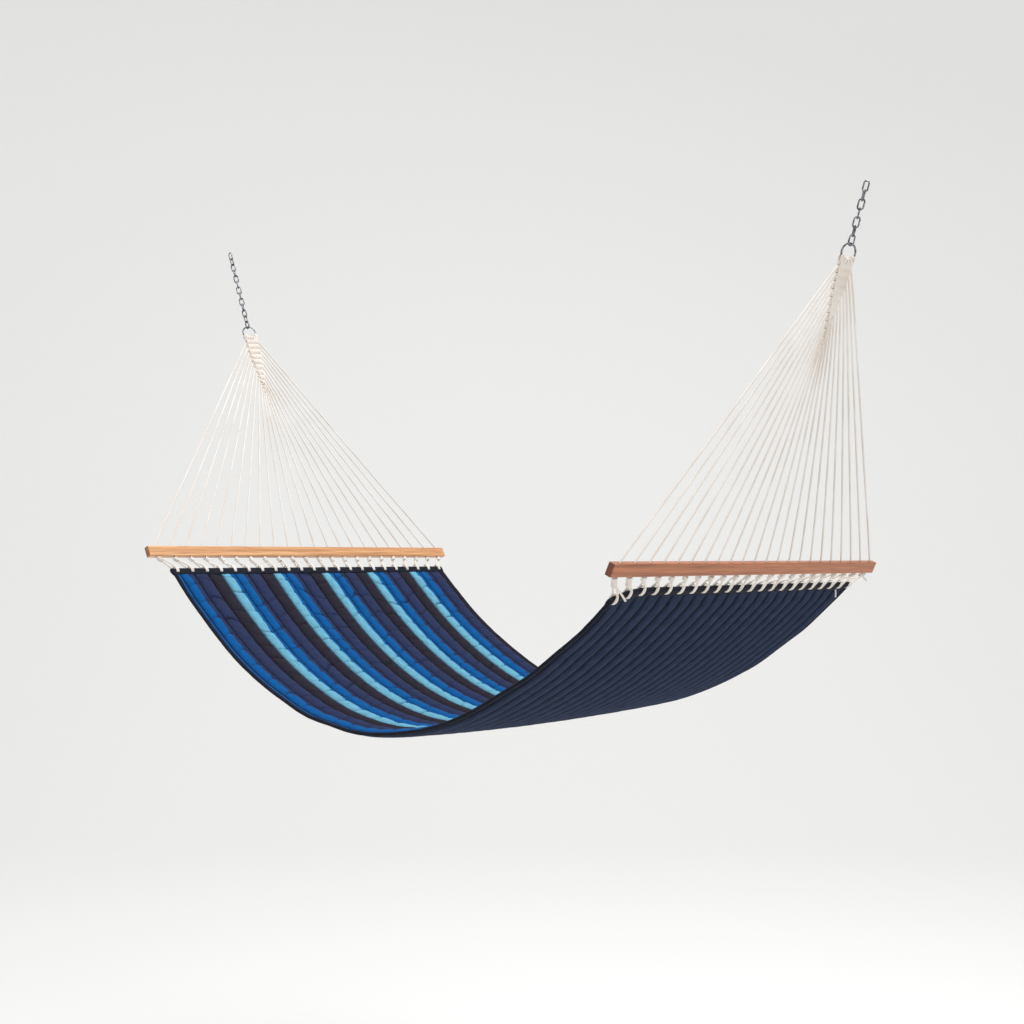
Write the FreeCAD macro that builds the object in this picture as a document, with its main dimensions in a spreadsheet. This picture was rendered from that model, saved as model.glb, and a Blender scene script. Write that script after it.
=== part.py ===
import FreeCAD, Part
import math
import os
import Sketcher
from FreeCAD import Placement, Rotation, Vector

# A quilted hammock, hung by a chain at each end. Millimetres and degrees.
# +X runs from the head end to the foot end, +Z is up, and the origin is the point
# where a hook bears inside the head chain's last link.

doc = FreeCAD.newDocument("quilted_hammock")

DRIVING_SIZES = [
    # spreader bars
    ("bar_length", 1397),
    ("bar_height", 36),
    ("bar_thickness", 19.5),
    ("bar_edge_radius", 3),
    ("bar_lean", 25),
    ("bar_spacing", 1827),
    ("head_bar_rise", 46.8),
    ("hole_edge", 31.75),
    ("hole_side_gap", 2.5),
    # harness cords and the woven clews
    ("cord_count", 22),
    ("cord_diameter", 5.5),
    ("harness_length", 887),
    ("head_pull_angle", 67.6),
    ("foot_pull_angle", 71.6),
    ("weave_width", 46),
    ("weave_thickness", 13),
    ("weave_row_pitch", 21.5),
    ("weave_cord_gap", 0.5),
    ("knot_diameter", 14),
    ("knot_gap", 1.2),
    ("tail_length", 30),
    # rings and chains
    ("ring_diameter", 48),
    ("ring_wire", 5.5),
    ("ring_turn", 20),
    ("ring_play", 0.8),
    ("link_wire", 4.6),
    ("link_inside_length", 24.3),
    ("link_side_gap", 2.9),
    ("link_play", 0.3),
    ("head_link_count", 13),
    ("foot_link_count", 7),
    ("head_chain_angle", 69.9),
    ("foot_chain_angle", 73),
    ("head_chain_wind", 42),
    ("foot_chain_wind", 28),
    # bed
    ("bed_width", 1274),
    ("bed_sag", 434),
    ("hem_inset", 46),
    ("head_hem_drop", 60),
    ("foot_hem_drop", 54),
    ("hem_depth", 20),
    ("webbing_thickness", 1.4),
    ("slot_edge", 17.5),
    ("slot_side_gap", 1.25),
    ("slot_end_gap", 3),
    ("dowel_diameter", 11),
    ("fit_gap", 0.3),
    ("quilt_gap", 0.1),
    ("cover_thickness", 1),
    ("batting_thickness", 9.4),
    ("binding_width", 10),
    ("binding_thickness", 1.4),
]

sheet = doc.addObject("Spreadsheet::Sheet", "Sizes")
for row, (alias, value) in enumerate(DRIVING_SIZES, start=1):
    sheet.set(f"A{row}", alias)
    sheet.set(f"B{row}", str(value))
    sheet.setAlias(f"B{row}", alias)
doc.recompute()


def size(alias):
    return float(sheet.get(alias))


ALONG_Y = Vector(0, 1, 0)
CORD_COUNT = int(size("cord_count"))
ROWS = CORD_COUNT // 2
CORD_RADIUS = size("cord_diameter") / 2
SLIVER_GAP = 0.2
HOLE_PITCH = (size("bar_length") - 2 * size("hole_edge")) / (CORD_COUNT - 1)
HOLE_DIAMETER = size("cord_diameter") + 2 * size("hole_side_gap")
SLOT_PITCH = (size("bed_width") - 2 * size("slot_edge")) / (CORD_COUNT - 1)
SLOT_WIDTH = size("cord_diameter") + 2 * size("slot_side_gap")
SLOT_DEPTH = size("dowel_diameter") / 2 + size("cord_diameter") + size("slot_end_gap")
LINK_INSIDE_WIDTH = size("link_wire") + 2 * size("link_side_gap")
LINK_PITCH = size("link_inside_length") - size("link_play")
RING_RADIUS = size("ring_diameter") / 2
RING_INNER_RADIUS = RING_RADIUS - size("ring_wire") / 2
QUILT_THICKNESS = size("batting_thickness") + 2 * size("cover_thickness")
QUILT_GRIP = QUILT_THICKNESS / 2 + size("quilt_gap")
POCKET_RADIUS = max(size("dowel_diameter") / 2 + size("fit_gap"), QUILT_GRIP)
HEM_RADIUS = POCKET_RADIUS + size("webbing_thickness")

subparts = []


def keep(item, label):
    item.Label = label
    subparts.append(item)
    return item


def feature(label, shape):
    item = doc.addObject("Part::Feature", label)
    item.Shape = shape
    return keep(item, label)


# Layout: one record for each end of the hammock.


class End:
    """side is -1 at the head and +1 at the foot. The harness pulls along pull, from the bar
    to the ring, and the chain goes on along chain, a little steeper."""

    def __init__(self, name, side, pull_angle, chain_angle, link_count, wind):
        self.name = name
        self.side = side
        self.pull = self.leaning(pull_angle)
        self.across = Vector(self.pull.z, 0, -self.pull.x)
        self.chain = self.leaning(chain_angle)
        self.chain_across = Vector(self.chain.z, 0, -self.chain.x)
        self.link_count = link_count
        self.wind = wind
        lean = math.radians(size("bar_lean"))
        self.bar_up = Vector(side * math.sin(lean), 0, math.cos(lean))

    def leaning(self, angle):
        turn = math.radians(angle)
        return Vector(self.side * math.cos(turn), 0, math.sin(turn))

    def link_distance(self, number):
        first = RING_INNER_RADIUS - size("ring_play") + size("link_inside_length") / 2
        return first + (number - 1) * LINK_PITCH

    def hook_distance(self):
        return self.link_distance(self.link_count) + size("link_inside_length") / 2

    def swing_distance(self):
        wire_centre = (size("link_inside_length") + size("link_wire")) / 2
        return self.link_distance(self.link_count) - wire_centre


head = End("head", -1, size("head_pull_angle"), size("head_chain_angle"),
           int(size("head_link_count")), size("head_chain_wind"))
foot = End("foot", 1, size("foot_pull_angle"), size("foot_chain_angle"),
           int(size("foot_link_count")), size("foot_chain_wind"))

head.ring = head.chain * -head.hook_distance()
head.bar = head.ring - head.pull * size("harness_length")
foot.bar = head.bar + Vector(size("bar_spacing"), 0, -size("head_bar_rise"))
foot.ring = foot.bar + foot.pull * size("harness_length")
for end in (head, foot):
    end.hook = end.ring + end.chain * end.hook_distance()
    end.swing_pivot = end.ring + end.chain * end.swing_distance()
    end.dowel = end.bar + Vector(-end.side * size("hem_inset"), 0,
                                 -size(f"{end.name}_hem_drop"))


# The bed hangs in a parabola between the two hem dowels.

bed_span = foot.dowel.x - head.dowel.x


def bed_point(x):
    share = (x - head.dowel.x) / bed_span
    chord = head.dowel.z + (foot.dowel.z - head.dowel.z) * share
    return Vector(x, 0, chord - 4 * size("bed_sag") * share * (1 - share))


def bed_slope(x):
    share = (x - head.dowel.x) / bed_span
    return (foot.dowel.z - head.dowel.z - 4 * size("bed_sag") * (1 - 2 * share)) / bed_span


def lift_direction(x):
    return Vector(-bed_slope(x), 0, 1).normalize()


JUNCTION_PASSES = 6
ON_THE_SPOT = 1e-6


def hem_junction(end):
    """The point of the parabola one hem depth along the bed from the dowel."""
    reach = size("hem_depth") / math.hypot(1, bed_slope(end.dowel.x))
    for _ in range(JUNCTION_PASSES):
        point = bed_point(end.dowel.x - end.side * reach)
        reach *= size("hem_depth") / point.distanceToPoint(end.dowel)
    return bed_point(end.dowel.x - end.side * reach)


for end in (head, foot):
    end.junction = hem_junction(end)
    end.hem_along = (end.junction - end.dowel).normalize()
    end.hem_lift = Vector(end.side * end.hem_along.z, 0, -end.side * end.hem_along.x)
    end.hem_turn = math.degrees(math.atan2(-end.hem_along.z, end.hem_along.x))


def centred(index, pitch):
    return (index - (CORD_COUNT - 1) / 2) * pitch


# Sketch helpers


def origin_plane(body, role):
    return next(item for item in body.Origin.OriginFeatures if item.Role == role)


def new_sketch(body, name, role):
    sketch = body.newObject("Sketcher::SketchObject", name)
    sketch.AttachmentSupport = (origin_plane(body, role), [""])
    sketch.MapMode = "FlatFace"
    return sketch


def named_dimension(sketch, name, constraint, expression):
    number = sketch.addConstraint(constraint)
    sketch.renameConstraint(number, name)
    sketch.setExpression(f"Constraints.{name}", expression)


def centred_rectangle(sketch, width, height, width_now, height_now):
    """A rectangle about the sketch origin; width and height are expressions."""
    x, y = width_now / 2, height_now / 2
    corners = [Vector(-x, -y, 0), Vector(x, -y, 0), Vector(x, y, 0), Vector(-x, y, 0)]
    for start, stop in zip(corners, corners[1:] + corners[:1]):
        sketch.addGeometry(Part.LineSegment(start, stop))
    for side in range(4):
        sketch.addConstraint(Sketcher.Constraint("Coincident", side, 2, (side + 1) % 4, 1))
    for side, kind in enumerate(("Horizontal", "Vertical", "Horizontal", "Vertical")):
        sketch.addConstraint(Sketcher.Constraint(kind, side))
    sketch.addConstraint(Sketcher.Constraint("Symmetric", 0, 1, 1, 2, -1, 1))
    named_dimension(sketch, "width",
                    Sketcher.Constraint("DistanceX", 0, 1, 0, 2, width_now), width)
    named_dimension(sketch, "height",
                    Sketcher.Constraint("DistanceY", 1, 1, 1, 2, height_now), height)


def repeat_for_cords(body, name, feature_to_repeat, length):
    """One copy for every cord, spread evenly along Y over length, an expression."""
    pattern = body.newObject("PartDesign::LinearPattern", name)
    pattern.Originals = [feature_to_repeat]
    pattern.Direction = (origin_plane(body, "Y_Axis"), [""])
    pattern.setExpression("Length", length)
    pattern.Occurrences = CORD_COUNT
    body.Tip = pattern


# Spreader bars: oak, rounded, drilled across for every cord


def add_spreader_bar(end):
    name = f"{end.name}_spreader_bar"
    body = doc.addObject("PartDesign::Body", name)
    section = new_sketch(body, f"{name}_section", "XZ_Plane")
    centred_rectangle(section, "Sizes.bar_thickness", "Sizes.bar_height",
                      size("bar_thickness"), size("bar_height"))
    pad = body.newObject("PartDesign::Pad", f"{name}_length")
    pad.Profile = section
    pad.SideType = "Symmetric"
    pad.setExpression("Length", "Sizes.bar_length")
    doc.recompute()
    rounding = body.newObject("PartDesign::Fillet", f"{name}_rounding")
    rounding.Base = (pad, [f"Edge{n}" for n in range(1, 13)])
    rounding.setExpression("Radius", "Sizes.bar_edge_radius")
    doc.recompute()
    hole_spot = new_sketch(body, f"{name}_hole_spot", "XY_Plane")
    first = centred(0, HOLE_PITCH)
    hole_spot.addGeometry(Part.Circle(Vector(0, first, 0), Vector(0, 0, 1),
                                      HOLE_DIAMETER / 2))
    hole_spot.addConstraint(Sketcher.Constraint("PointOnObject", 0, 3, -2))
    named_dimension(hole_spot, "diameter",
                    Sketcher.Constraint("Diameter", 0, HOLE_DIAMETER),
                    "Sizes.cord_diameter + 2 * Sizes.hole_side_gap")
    named_dimension(hole_spot, "from_middle",
                    Sketcher.Constraint("DistanceY", 0, 3, -1, 1, -first),
                    "Sizes.bar_length / 2 - Sizes.hole_edge")
    hole = body.newObject("PartDesign::Pocket", f"{name}_hole")
    hole.Profile = hole_spot
    hole.SideType = "Symmetric"
    hole.Type = "Length"
    hole.setExpression("Length", "2 * Sizes.bar_height")
    doc.recompute()
    repeat_for_cords(body, f"{name}_holes", hole,
                     "Sizes.bar_length - 2 * Sizes.hole_edge")
    body.Placement = Placement(end.bar, Rotation(ALONG_Y, end.side * size("bar_lean")))
    return keep(body, name)


# Chains: oval links, each turned about a quarter turn from the one below it.
# The chain is also wound a little, most in its middle.


def link_turn(end, number):
    quarter = 90 if number % 2 else 0
    wound = end.wind * math.sin(math.pi * (number - 1) / (end.link_count - 1))
    return quarter - wound


def ring_facing(end):
    return facing(end.chain, end.chain_across, size("ring_turn"))


def facing(up, across, turn):
    """Local Y runs up the pull line and local Z is turned from across towards -Y."""
    angle = math.radians(turn)
    normal = across * math.cos(angle) - ALONG_Y * math.sin(angle)
    return Rotation(up.cross(normal), up, normal, "ZYX")


def add_link(end, number):
    name = f"{end.name}_chain_link_{number:02d}"
    body = doc.addObject("PartDesign::Body", name)
    bend = (LINK_INSIDE_WIDTH + size("link_wire")) / 2
    bend_expression = "Sizes.link_wire + Sizes.link_side_gap"
    reach = (size("link_inside_length") - LINK_INSIDE_WIDTH) / 2
    path = new_sketch(body, f"{name}_path", "XY_Plane")
    path.addGeometry(Part.LineSegment(Vector(bend, 0, 0), Vector(bend, reach, 0)))
    path.addGeometry(Part.ArcOfCircle(
        Part.Circle(Vector(0, reach, 0), Vector(0, 0, 1), bend), 0, math.pi))
    path.addGeometry(Part.LineSegment(Vector(-bend, reach, 0), Vector(-bend, -reach, 0)))
    path.addGeometry(Part.ArcOfCircle(
        Part.Circle(Vector(0, -reach, 0), Vector(0, 0, 1), bend), math.pi, 2 * math.pi))
    path.addGeometry(Part.LineSegment(Vector(bend, -reach, 0), Vector(bend, 0, 0)))
    for first, first_end, second, second_end in ((0, 2, 1, 1), (1, 2, 2, 1), (2, 2, 3, 1),
                                                 (3, 2, 4, 1), (4, 2, 0, 1)):
        path.addConstraint(Sketcher.Constraint(
            "Coincident", first, first_end, second, second_end))
    for line in (0, 2, 4):
        path.addConstraint(Sketcher.Constraint("Vertical", line))
    for centre in (1, 3):
        path.addConstraint(Sketcher.Constraint("PointOnObject", centre, 3, -2))
    path.addConstraint(Sketcher.Constraint("PointOnObject", 0, 1, -1))
    path.addConstraint(Sketcher.Constraint("PointOnObject", 1, 1, 0))
    path.addConstraint(Sketcher.Constraint("Symmetric", 1, 3, 3, 3, -1, 1))
    named_dimension(path, "bend", Sketcher.Constraint("DistanceX", -1, 1, 0, 1, bend),
                    bend_expression)
    named_dimension(path, "centres", Sketcher.Constraint("DistanceY", 3, 3, 1, 3, 2 * reach),
                    "Sizes.link_inside_length - Sizes.link_wire - 2 * Sizes.link_side_gap")
    path.addConstraint(Sketcher.Constraint("Horizontal", 1, 3, 1, 1))
    path.addConstraint(Sketcher.Constraint("Horizontal", 3, 3, 3, 1))
    wire = new_sketch(body, f"{name}_wire", "XZ_Plane")
    wire.addGeometry(Part.Circle(Vector(bend, 0, 0), Vector(0, 0, 1), size("link_wire") / 2))
    wire.addConstraint(Sketcher.Constraint("PointOnObject", 0, 3, -1))
    named_dimension(wire, "diameter", Sketcher.Constraint("Diameter", 0, size("link_wire")),
                    "Sizes.link_wire")
    named_dimension(wire, "bend", Sketcher.Constraint("DistanceX", -1, 1, 0, 3, bend),
                    bend_expression)
    doc.recompute()
    pipe = body.newObject("PartDesign::AdditivePipe", f"{name}_bent_wire")
    pipe.Profile = wire
    pipe.Spine = (path, [f"Edge{n}" for n in range(1, 6)])
    centre = end.ring + end.chain * end.link_distance(number)
    body.Placement = Placement(centre, facing(end.chain, end.chain_across,
                                              link_turn(end, number)))
    return keep(body, name)


def add_ring(end):
    ring = doc.addObject("Part::Torus", f"{end.name}_ring")
    ring.setExpression("Radius1", "Sizes.ring_diameter / 2")
    ring.setExpression("Radius2", "Sizes.ring_wire / 2")
    ring.Placement = Placement(end.ring, ring_facing(end))
    return keep(ring, f"{end.name}_ring")


# Clews: the cords are doubled over the ring and woven in rows; each row lets one
# cord go on either side, so the weave narrows to a point


RING_BORE_GAP = 0.05
LEAVING_SHARE = 0.6  # how far down its row a cord leaves the weave


def row_width(row):
    cord_room = size("cord_diameter") + size("weave_cord_gap")
    return min(size("weave_width"), (ROWS - row) * cord_room)


def row_turn(row):
    return size("ring_turn") * (1 - row / (ROWS - 1))


def row_top(row):
    return RING_RADIUS + size("ring_wire") / 2 + SLIVER_GAP + row * size("weave_row_pitch")


def sideways(end, turn):
    """The direction of the fan, turned about the pull line; towards +Y at no turn."""
    angle = math.radians(turn)
    return ALONG_Y * math.cos(angle) + end.across * math.sin(angle)


def add_clew_weave(end):
    wrap = Part.makeTorus(RING_RADIUS, size("ring_wire") / 2 + size("cord_diameter"),
                          Vector(0, 0, 0), Vector(0, 0, 1), 0, 360, 180)
    wrap.rotate(Vector(0, 0, 0), Vector(0, 0, 1), 180)
    wrap.Placement = Placement(end.ring, ring_facing(end)).multiply(wrap.Placement)
    rows = []
    for row in range(ROWS):
        width, thick, tall = row_width(row), size("weave_thickness"), size("weave_row_pitch")
        block = Part.makeBox(width, tall, thick, Vector(-width / 2, -row_top(row) - tall,
                                                        -thick / 2))
        block.Placement = Placement(end.ring, facing(end.pull, end.across, row_turn(row)))
        rows.append(block)
    bore = Part.makeTorus(RING_RADIUS, size("ring_wire") / 2 + RING_BORE_GAP)
    bore.Placement = Placement(end.ring, ring_facing(end))
    return feature(f"{end.name}_clew_weave", wrap.multiFuse(rows).cut(bore))


# Cords


def rounded_path(points, radii):
    """Straight runs between the points, joined by tangent arcs of the given radii."""
    edges = []
    start = points[0]
    for before, corner, after, radius in zip(points, points[1:], points[2:], radii):
        into = (corner - before).normalize()
        out = (after - corner).normalize()
        turn = into.getAngle(out)
        trim = radius * math.tan(turn / 2)
        inner = (out - into).normalize() * radius / math.cos(turn / 2)
        middle = corner + inner - (out - into).normalize() * radius
        first, last = corner - into * trim, corner + out * trim
        if start.distanceToPoint(first) > ON_THE_SPOT:
            edges.append(Part.LineSegment(start, first).toShape())
        edges.append(Part.Arc(first, middle, last).toShape())
        start = last
    edges.append(Part.LineSegment(start, points[-1]).toShape())
    return Part.Wire(edges)


def cord_along(path, radius):
    start = path.Edges[0]
    heading = start.tangentAt(start.FirstParameter)
    section = Part.Wire([Part.makeCircle(radius, start.valueAt(start.FirstParameter), heading)])
    return path.makePipeShell([section], True, False)


def harness_row(index):
    """The weave row that lets go the cord of this bar hole: outer cords leave first."""
    return min(index, CORD_COUNT - 1 - index)


HOLE_BEND_RADIUS = 2 * size("cord_diameter")
HOLE_BEND_RISE = 3
KNOT_RADIUS = size("knot_diameter") / 2


def knot_centre(end, index):
    below = size("bar_height") / 2 + size("knot_gap") + KNOT_RADIUS
    return end.bar - end.bar_up * below + ALONG_Y * centred(index, HOLE_PITCH)


def harness_cord(end, index):
    row = harness_row(index)
    outward = -1 if index < ROWS else 1
    aside = row_width(row) / 2 + CORD_RADIUS + SLIVER_GAP
    down = row_top(row) + LEAVING_SHARE * size("weave_row_pitch")
    leave = end.ring - end.pull * down + sideways(end, row_turn(row)) * (outward * aside)
    hole = end.bar + ALONG_Y * centred(index, HOLE_PITCH)
    entry = hole + end.bar_up * (size("bar_height") / 2 + HOLE_BEND_RISE)
    stop = knot_centre(end, index) + end.bar_up * (KNOT_RADIUS + SLIVER_GAP)
    return cord_along(rounded_path([leave, entry, stop], [HOLE_BEND_RADIUS]), CORD_RADIUS)


def add_harness_cords(end):
    cords = [harness_cord(end, index) for index in range(CORD_COUNT)]
    return feature(f"{end.name}_harness_cords", Part.makeCompound(cords))


# Lashings: below the bar each cord goes on to the hem, round the dowel through a
# buttonhole, and back to a hitch on itself


LASH_RADIUS = size("dowel_diameter") / 2 + CORD_RADIUS + SLIVER_GAP
MOUTH_REACH = 1.5 * LASH_RADIUS
LONG_KNOTS = {"head": (), "foot": (0, 1)}
LONG_KNOT_TURNS = 3
KNOT_STEP = 0.6 * size("knot_diameter")
TAILS = {"head": (), "foot": (0, CORD_COUNT - 1)}
TAIL_LEAN = 30


def slot_centre(end, index):
    return end.dowel + ALONG_Y * centred(index, SLOT_PITCH)


def knot_chain(end, index):
    """Centres of the hitches tied one after another on this cord, from the bar down."""
    top = knot_centre(end, index)
    if index not in LONG_KNOTS[end.name]:
        return [top]
    heading = (slot_centre(end, index) - top).normalize()
    return [top + heading * (KNOT_STEP * turn) for turn in range(LONG_KNOT_TURNS)]


def lashing(end, index):
    knot = knot_chain(end, index)[-1]
    slot = slot_centre(end, index)
    along, lift = end.hem_along, end.hem_lift
    mouth = slot - along * MOUTH_REACH
    heading = (mouth - knot).normalize()
    beside = heading.cross(ALONG_Y).normalize()
    beside = beside if beside.dot(lift) > 0 else beside * -1
    above = knot + heading * (KNOT_RADIUS + SLIVER_GAP) + beside * (CORD_RADIUS + SLIVER_GAP)
    below = knot + heading * (KNOT_RADIUS + SLIVER_GAP) - beside * (CORD_RADIUS + SLIVER_GAP)
    corners = [
        above,
        mouth + lift * LASH_RADIUS,
        slot + along * LASH_RADIUS + lift * LASH_RADIUS,
        slot + along * LASH_RADIUS - lift * LASH_RADIUS,
        mouth - lift * LASH_RADIUS,
        below,
    ]
    bends = [size("cord_diameter"), LASH_RADIUS, LASH_RADIUS, size("cord_diameter")]
    return cord_along(rounded_path(corners, bends), CORD_RADIUS)


def add_lashings(end):
    loops = [lashing(end, index) for index in range(CORD_COUNT)]
    return feature(f"{end.name}_hem_lashings", Part.makeCompound(loops))


def knot_outline(start, heading, aside, turns):
    """Half the outline of round turns tied one against the next, closed along heading."""
    waist = math.sqrt(KNOT_RADIUS ** 2 - (KNOT_STEP / 2) ** 2)
    edges, last = [], start - heading * KNOT_RADIUS
    for turn in range(turns):
        centre = start + heading * (KNOT_STEP * turn)
        crown = centre + aside * KNOT_RADIUS
        tip = centre + heading * KNOT_RADIUS
        if turn < turns - 1:
            tip = centre + heading * (KNOT_STEP / 2) + aside * waist
        edges.append(Part.Arc(last, crown, tip).toShape())
        last = tip
    edges.append(Part.LineSegment(last, start - heading * KNOT_RADIUS).toShape())
    return Part.Face(Part.Wire(edges))


def hitch(end, index):
    """The solids of one cord's knot, and of its loose tail where it has one."""
    centres = knot_chain(end, index)
    heading = (slot_centre(end, index) - centres[0]).normalize()
    aside = heading.cross(ALONG_Y).normalize()
    outline = knot_outline(centres[0], heading, aside, len(centres))
    solids = [outline.revolve(centres[0], heading, 360)]
    if index in TAILS[end.name]:
        lean = math.radians(TAIL_LEAN)
        hanging = Vector(end.side * math.sin(lean), 0, -math.cos(lean))
        start = centres[-1] + hanging * (KNOT_RADIUS + SLIVER_GAP)
        solids.append(Part.makeCylinder(CORD_RADIUS, size("tail_length"), start, hanging))
    return solids


def add_hitches(end):
    hitches = [hitch(end, index) for index in range(CORD_COUNT)]
    return feature(f"{end.name}_lashing_hitches", Part.makeCompound(sum(hitches, [])))


# Hems: a webbing band folded round a dowel, with a buttonhole for every lashing


def add_hem_dowel(end):
    dowel = doc.addObject("Part::Cylinder", f"{end.name}_hem_dowel")
    dowel.setExpression("Radius", "Sizes.dowel_diameter / 2")
    dowel.setExpression("Height", "Sizes.bed_width")
    foot_of_dowel = end.dowel - ALONG_Y * (size("bed_width") / 2)
    dowel.Placement = Placement(foot_of_dowel, Rotation(Vector(0, 0, 1), ALONG_Y))
    return keep(dowel, f"{end.name}_hem_dowel")


def folded_section(sketch, inner, outer, grip, depth):
    """A U about the sketch origin, open towards +X; its walls close to the grip there."""
    outer_grip = grip + outer - inner
    sketch.addGeometry(Part.ArcOfCircle(
        Part.Circle(Vector(0, 0, 0), Vector(0, 0, 1), outer), math.pi / 2, 1.5 * math.pi))
    sketch.addGeometry(Part.LineSegment(Vector(0, -outer, 0), Vector(depth, -outer_grip, 0)))
    sketch.addGeometry(Part.LineSegment(Vector(depth, -outer_grip, 0), Vector(depth, -grip, 0)))
    sketch.addGeometry(Part.LineSegment(Vector(depth, -grip, 0), Vector(0, -inner, 0)))
    sketch.addGeometry(Part.ArcOfCircle(
        Part.Circle(Vector(0, 0, 0), Vector(0, 0, 1), inner), math.pi / 2, 1.5 * math.pi))
    sketch.addGeometry(Part.LineSegment(Vector(0, inner, 0), Vector(depth, grip, 0)))
    sketch.addGeometry(Part.LineSegment(Vector(depth, grip, 0), Vector(depth, outer_grip, 0)))
    sketch.addGeometry(Part.LineSegment(Vector(depth, outer_grip, 0), Vector(0, outer, 0)))
    for first, first_end, second, second_end in ((0, 2, 1, 1), (1, 2, 2, 1), (2, 2, 3, 1),
                                                 (3, 2, 4, 2), (4, 1, 5, 1), (5, 2, 6, 1),
                                                 (6, 2, 7, 1), (7, 2, 0, 1)):
        sketch.addConstraint(Sketcher.Constraint(
            "Coincident", first, first_end, second, second_end))
    for centre in (0, 4):
        sketch.addConstraint(Sketcher.Constraint("Coincident", centre, 3, -1, 1))
    for line in (2, 6):
        sketch.addConstraint(Sketcher.Constraint("Vertical", line))
    for arc, corner in ((0, 1), (0, 2), (4, 1), (4, 2)):
        sketch.addConstraint(Sketcher.Constraint("PointOnObject", arc, corner, -2))
    sketch.addConstraint(Sketcher.Constraint("Vertical", 2, 1, 6, 2))
    quilt = "Sizes.batting_thickness / 2 + Sizes.cover_thickness + Sizes.quilt_gap"
    pocket = f"max(Sizes.dowel_diameter / 2 + Sizes.fit_gap; {quilt})"
    named_dimension(sketch, "inner", Sketcher.Constraint("Radius", 4, inner), pocket)
    named_dimension(sketch, "outer", Sketcher.Constraint("Radius", 0, outer),
                    f"{pocket} + Sizes.webbing_thickness")
    named_dimension(sketch, "depth", Sketcher.Constraint("DistanceX", -1, 1, 1, 2, depth),
                    "Sizes.hem_depth")
    webbing = f"{quilt} + Sizes.webbing_thickness"
    named_dimension(sketch, "grip_above",
                    Sketcher.Constraint("DistanceY", -1, 1, 5, 2, grip), quilt)
    named_dimension(sketch, "grip_below",
                    Sketcher.Constraint("DistanceY", 3, 1, -1, 1, grip), quilt)
    named_dimension(sketch, "wall_above",
                    Sketcher.Constraint("DistanceY", -1, 1, 6, 2, outer_grip), webbing)
    named_dimension(sketch, "wall_below",
                    Sketcher.Constraint("DistanceY", 2, 1, -1, 1, outer_grip), webbing)


CUT_REACH = 4  # the buttonhole cut clears the hem by this many dowel diameters


def add_hem_band(end):
    name = f"{end.name}_hem_band"
    body = doc.addObject("PartDesign::Body", name)
    section = new_sketch(body, f"{name}_section", "XZ_Plane")
    folded_section(section, POCKET_RADIUS, HEM_RADIUS, QUILT_GRIP, size("hem_depth"))
    pad = body.newObject("PartDesign::Pad", f"{name}_width")
    pad.Profile = section
    pad.SideType = "Symmetric"
    pad.setExpression("Length", "Sizes.bed_width")
    doc.recompute()
    spot = new_sketch(body, f"{name}_buttonhole_spot", "XY_Plane")
    left, right = -CUT_REACH * size("dowel_diameter"), SLOT_DEPTH
    low = centred(0, SLOT_PITCH) - SLOT_WIDTH / 2
    high = low + SLOT_WIDTH
    corners = [Vector(left, low, 0), Vector(right, low, 0),
               Vector(right, high, 0), Vector(left, high, 0)]
    for start, stop in zip(corners, corners[1:] + corners[:1]):
        spot.addGeometry(Part.LineSegment(start, stop))
    for line in range(4):
        spot.addConstraint(Sketcher.Constraint("Coincident", line, 2, (line + 1) % 4, 1))
    for line, kind in enumerate(("Horizontal", "Vertical", "Horizontal", "Vertical")):
        spot.addConstraint(Sketcher.Constraint(kind, line))
    named_dimension(spot, "mouth", Sketcher.Constraint("DistanceX", 0, 1, -1, 1, -left),
                    f"{CUT_REACH} * Sizes.dowel_diameter")
    named_dimension(spot, "deep", Sketcher.Constraint("DistanceX", -1, 1, 0, 2, right),
                    "Sizes.dowel_diameter / 2 + Sizes.cord_diameter + Sizes.slot_end_gap")
    named_dimension(spot, "wide", Sketcher.Constraint("DistanceY", 1, 1, 1, 2, high - low),
                    "Sizes.cord_diameter + 2 * Sizes.slot_side_gap")
    named_dimension(spot, "from_middle", Sketcher.Constraint("DistanceY", 0, 1, -1, 1, -low),
                    "(Sizes.bed_width + Sizes.cord_diameter) / 2"
                    " + Sizes.slot_side_gap - Sizes.slot_edge")
    slot = body.newObject("PartDesign::Pocket", f"{name}_buttonhole")
    slot.Profile = spot
    slot.SideType = "Symmetric"
    slot.Type = "Length"
    slot.setExpression("Length", f"{2 * CUT_REACH} * Sizes.dowel_diameter")
    doc.recompute()
    repeat_for_cords(body, f"{name}_buttonholes", slot,
                     "Sizes.bed_width - 2 * Sizes.slot_edge")
    body.Placement = Placement(end.dowel, Rotation(ALONG_Y, end.hem_turn))
    return keep(body, name)


# Bed: two quilted covers with batting between them, and a bound edge on each side.
# Its layers share the curves between them, straight in the hems and parabolic between.


BED_CURVE_STEPS = 12
BED_END_CLEARANCE = 1.0
BINDING_CUT_MARGIN = 5


def layer_line(lift, first, last):
    """An open wire along the bed, offset by lift; first and last are distances from the
    dowels where it starts and stops."""
    tips = []
    for end, distance in ((head, first), (foot, last)):
        tips.append(end.dowel + end.hem_along * distance + end.hem_lift * lift)
    joins = [end.junction + end.hem_lift * lift for end in (head, foot)]
    start_x, stop_x = head.junction.x, foot.junction.x
    points = [joins[0]]
    for step in range(1, BED_CURVE_STEPS):
        x = start_x + (stop_x - start_x) * step / BED_CURVE_STEPS
        points.append(bed_point(x) + lift_direction(x) * lift)
    points.append(joins[1])
    curve = Part.BSplineCurve()
    curve.interpolate(Points=points, InitialTangent=head.hem_along,
                      FinalTangent=foot.hem_along * -1)
    edges = [curve.toShape()]
    if first < size("hem_depth") - ON_THE_SPOT:
        edges.insert(0, Part.LineSegment(tips[0], joins[0]).toShape())
    if last < size("hem_depth") - ON_THE_SPOT:
        edges.append(Part.LineSegment(joins[1], tips[1]).toShape())
    return Part.Wire(edges)


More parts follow.
